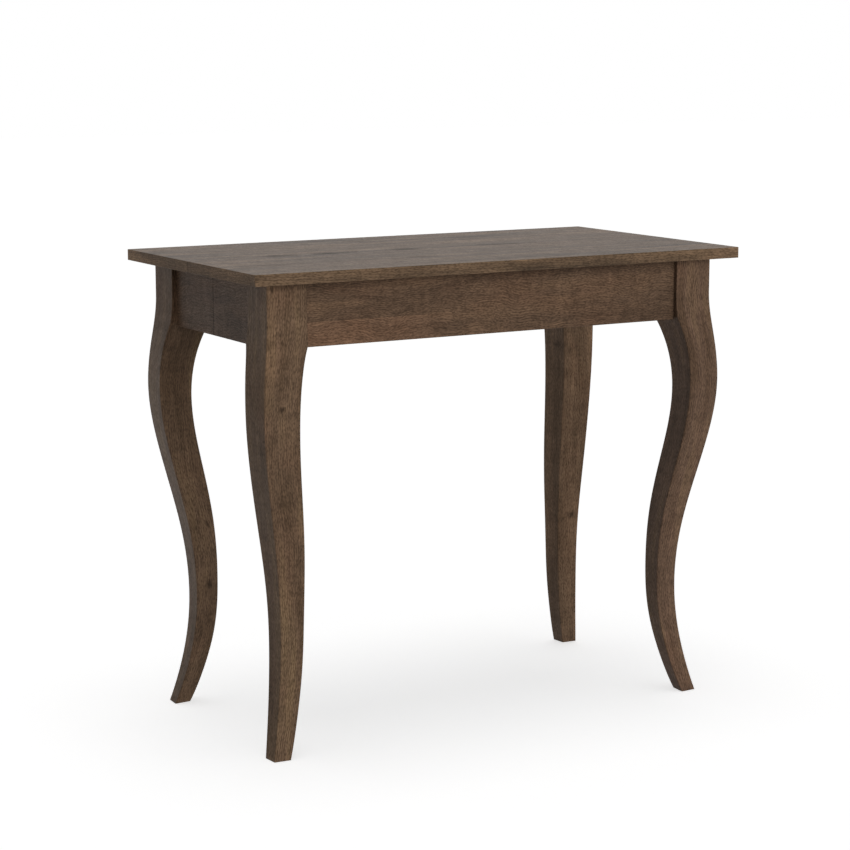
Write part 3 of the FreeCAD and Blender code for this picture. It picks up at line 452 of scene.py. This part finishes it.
def anodised_aluminium(name, along):
    """Anodised aluminium: die lines from noise stretched along the bar, in colour and gloss."""
    material, tree = new_material(name)
    place = add(tree, "ShaderNodeTexCoord").outputs["Object"]
    mapping = {"Vector": place, "Rotation": GRAIN_TURNS[along]}
    grain = add(tree, "ShaderNodeMapping", mapping).outputs[0]
    counts = (1 / (DIE_LINE_LENGTH * MM), 1 / (DIE_LINE_WIDTH * MM), 1 / (DIE_LINE_WIDTH * MM))
    scaled = add(tree, "ShaderNodeVectorMath", {0: grain, 1: counts}, operation="MULTIPLY").outputs[0]
    noise = {"Vector": scaled, "Scale": 1.0, "Detail": DIE_LINE_DETAIL}
    lines = add(tree, "ShaderNodeTexNoise", noise).outputs["Fac"]
    stops = list(zip(NOISE_SPAN, (linear(ALUMINIUM_DARK), linear(ALUMINIUM_LIGHT))))
    tone = add(tree, "ShaderNodeValToRGB", {"Fac": lines}, stops).outputs["Color"]
    sheen = {
        0: lines,
        1: NOISE_SPAN[0],
        2: NOISE_SPAN[1],
        3: ALUMINIUM_DARK_ROUGHNESS,
        4: ALUMINIUM_LIGHT_ROUGHNESS,
    }
    roughness = add(tree, "ShaderNodeMapRange", sheen).outputs[0]
    face = {"Base Color": tone, "Metallic": 1.0, "Roughness": roughness}
    surface = add(tree, "ShaderNodeBsdfPrincipled", face)
    add(tree, "ShaderNodeOutputMaterial", {"Surface": surface.outputs[0]})
    return material


dress(anodised_aluminium("anodised_aluminium_members", "y"), MEMBER_NODES)
dress(anodised_aluminium("anodised_aluminium_crossbars", "x"), CROSSBAR_NODES)

# Slide keys: blocks moulded in natural nylon, pressed into one member and free in its neighbour.
# Nylon is a warm off-white, slightly cloudy, with a dull moulded skin.

NYLON_PALE = "#DEDACB"
NYLON_CLOUDY = "#CFCAB8"
NYLON_CLOUD = 12.0
NYLON_ROUGHNESS = 0.48
NYLON_IOR = 1.53
KEY_NODES = [f"slide_keys_{n}" for n in range(1, MEMBER_COUNT + 1)]


def natural_nylon(name):
    """Moulded nylon: two close off-whites in soft clouds."""
    material, tree = new_material(name)
    place = add(tree, "ShaderNodeTexCoord").outputs["Object"]
    noise = {"Vector": place, "Scale": 1 / (NYLON_CLOUD * MM)}
    clouds = add(tree, "ShaderNodeTexNoise", noise).outputs["Fac"]
    stops = list(zip(NOISE_SPAN, (linear(NYLON_CLOUDY), linear(NYLON_PALE))))
    tone = add(tree, "ShaderNodeValToRGB", {"Fac": clouds}, stops).outputs["Color"]
    face = {"Base Color": tone, "Roughness": NYLON_ROUGHNESS, "IOR": NYLON_IOR}
    surface = add(tree, "ShaderNodeBsdfPrincipled", face)
    add(tree, "ShaderNodeOutputMaterial", {"Surface": surface.outputs[0]})
    return material


dress(natural_nylon("natural_nylon"), KEY_NODES)

# Seam pins: three round steel pins that line up the two half tops, turned from bar and left bright.
# Each is pressed into the seam edge of the front top and enters a blind hole in the rear top.

TURNED_LIGHT = "#C6C6C4"
TURNED_DARK = "#A3A3A2"
TURNED_ROUGHNESS = 0.26
TURN_MARK = 0.8


def turned_steel(name):
    """Turned steel: fine rings round the pin, from noise along its axis alone."""
    material, tree = new_material(name)
    place = add(tree, "ShaderNodeTexCoord").outputs["Object"]
    counts = (0.0, 1 / (TURN_MARK * MM), 0.0)
    scaled = add(tree, "ShaderNodeVectorMath", {0: place, 1: counts}, operation="MULTIPLY").outputs[0]
    rings = add(tree, "ShaderNodeTexNoise", {"Vector": scaled, "Scale": 1.0}).outputs["Fac"]
    stops = list(zip(NOISE_SPAN, (linear(TURNED_DARK), linear(TURNED_LIGHT))))
    tone = add(tree, "ShaderNodeValToRGB", {"Fac": rings}, stops).outputs["Color"]
    face = {"Base Color": tone, "Metallic": 1.0, "Roughness": TURNED_ROUGHNESS}
    surface = add(tree, "ShaderNodeBsdfPrincipled", face)
    add(tree, "ShaderNodeOutputMaterial", {"Surface": surface.outputs[0]})
    return material


dress(turned_steel("turned_steel"), ["seam_pins"])

# Swing locks: stamped steel plates with riveted studs, and levers that swing over the seam, zinc plated.
# The stampings are screwed under the top on both sides of the seam.

LOCK_ZINC = (6.0, 0.28, 0.44)
LOCK_NODES = ["lock_plates", "lock_keepers"] + [f"{side}_lock_lever" for side in SIDES]

dress(zinc_plated_steel("zinc_plated_locks", *LOCK_ZINC), LOCK_NODES)

# Floor: a plain matt white studio floor that takes the soft shadow between the feet. The view sees it
# brighter than it is lit, so that it runs into the white background; from below it is clear. It lies a
# hair below the soles, so that the two do not fight for the same place.

FLOOR_HALF_WIDTH = 20.0
FLOOR_LEVEL = -0.0005
FLOOR_CORNERS = ((-1, -1), (1, -1), (1, 1), (-1, 1))
FLOOR_COLOUR = "#F4F4F4"
FLOOR_GLOW = 0.645


def seen_directly(tree):
    """1 for what the view, a gloss or glass sees, 0 for light on its way between surfaces."""
    rays = add(tree, "ShaderNodeLightPath").outputs
    seen = rays["Is Camera Ray"]
    for kind in ("Is Glossy Ray", "Is Transmission Ray"):
        seen = add(tree, "ShaderNodeMath", {0: seen, 1: rays[kind]}, operation="MAXIMUM").outputs[0]
    return seen


corners = [(sx * FLOOR_HALF_WIDTH, sy * FLOOR_HALF_WIDTH, FLOOR_LEVEL) for sx, sy in FLOOR_CORNERS]
floor_mesh = bpy.data.meshes.new("floor")
floor_mesh.from_pydata(corners, [], [(0, 1, 2, 3)])
floor = bpy.data.objects.new("floor", floor_mesh)
bpy.context.scene.collection.objects.link(floor)
floor_white, tree = new_material("white_floor")
strength = {0: seen_directly(tree), 1: FLOOR_GLOW}
strength = add(tree, "ShaderNodeMath", strength, operation="MULTIPLY").outputs[0]
glow = add(tree, "ShaderNodeEmission", {"Strength": strength})
matt = add(tree, "ShaderNodeBsdfDiffuse", {"Color": linear(FLOOR_COLOUR)})
lit = add(tree, "ShaderNodeAddShader", {0: matt.outputs[0], 1: glow.outputs[0]})
clear = add(tree, "ShaderNodeBsdfTransparent")
below = add(tree, "ShaderNodeNewGeometry").outputs["Backfacing"]
one_sided = add(tree, "ShaderNodeMixShader", {0: below, 1: lit.outputs[0], 2: clear.outputs[0]})
add(tree, "ShaderNodeOutputMaterial", {"Surface": one_sided.outputs[0]})
floor_mesh.materials.append(floor_white)

# Studio light: an even white sky, a broad soft lamp overhead for the shadow under the table, a low, strong
# one for the browns of the front, and a weaker one behind. The low lamps are kept out of the gloss, where
# they would whiten the top, and off the floor, where they would draw long shadows.

SKY_COLOUR = "#FFFFFF"
SKY_LIGHT = 0.23
# Tilt from straight down, turn, power, and spread, the angles in degrees
LAMPS = {
    "overhead": (0.0, 0.0, 0.58, 36.0),
    "front": (78.0, 3.0, 2.16, 30.0),
    "back": (80.0, 180.0, 1.15, 24.0),
}
LOW_LAMPS = ("front", "back")

world = bpy.data.worlds.new("studio")
bpy.context.scene.world = world
world.use_nodes = True
tree = world.node_tree
tree.nodes.clear()
strength = {0: seen_directly(tree), 3: SKY_LIGHT, 4: 1.0}
strength = add(tree, "ShaderNodeMapRange", strength).outputs[0]
sky = add(tree, "ShaderNodeBackground", {"Strength": strength, "Color": linear(SKY_COLOUR)})
add(tree, "ShaderNodeOutputWorld", {"Surface": sky.outputs[0]})

off_floor = bpy.data.collections.new("off_floor")
off_floor.objects.link(floor)
off_floor.collection_objects[0].light_linking.link_state = "EXCLUDE"

for name, (tilt, turn, power, spread) in LAMPS.items():
    lamp = bpy.data.lights.new(name, "SUN")
    lamp.energy = power
    lamp.angle = math.radians(spread)
    holder = bpy.data.objects.new(name, lamp)
    holder.rotation_euler = (math.radians(tilt), 0.0, math.radians(turn))
    if name in LOW_LAMPS:
        holder.visible_glossy = False
        holder.light_linking.receiver_collection = off_floor
    bpy.context.scene.collection.objects.link(holder)

# Camera: a long lens some four metres off to the front left, a little above the top.
# Its frame is square and it has no shift, so it can go round the table for the other views.

IMAGE_WIDTH = 850
FOCAL_PIXELS = 2308
CAMERA_PLACE = (-1.9486, -3.3122, 1.1275)
CAMERA_PITCH = 9.70
CAMERA_HEADING = 30.23

camera = bpy.data.cameras.new("camera")
camera.lens = camera.sensor_width * FOCAL_PIXELS / IMAGE_WIDTH
holder = bpy.data.objects.new("camera", camera)
holder.location = CAMERA_PLACE
holder.rotation_euler = (math.radians(90 - CAMERA_PITCH), 0.0, -math.radians(CAMERA_HEADING))
bpy.context.scene.collection.objects.link(holder)
bpy.context.scene.camera = holder
bpy.context.scene.view_settings.view_transform = "Standard"
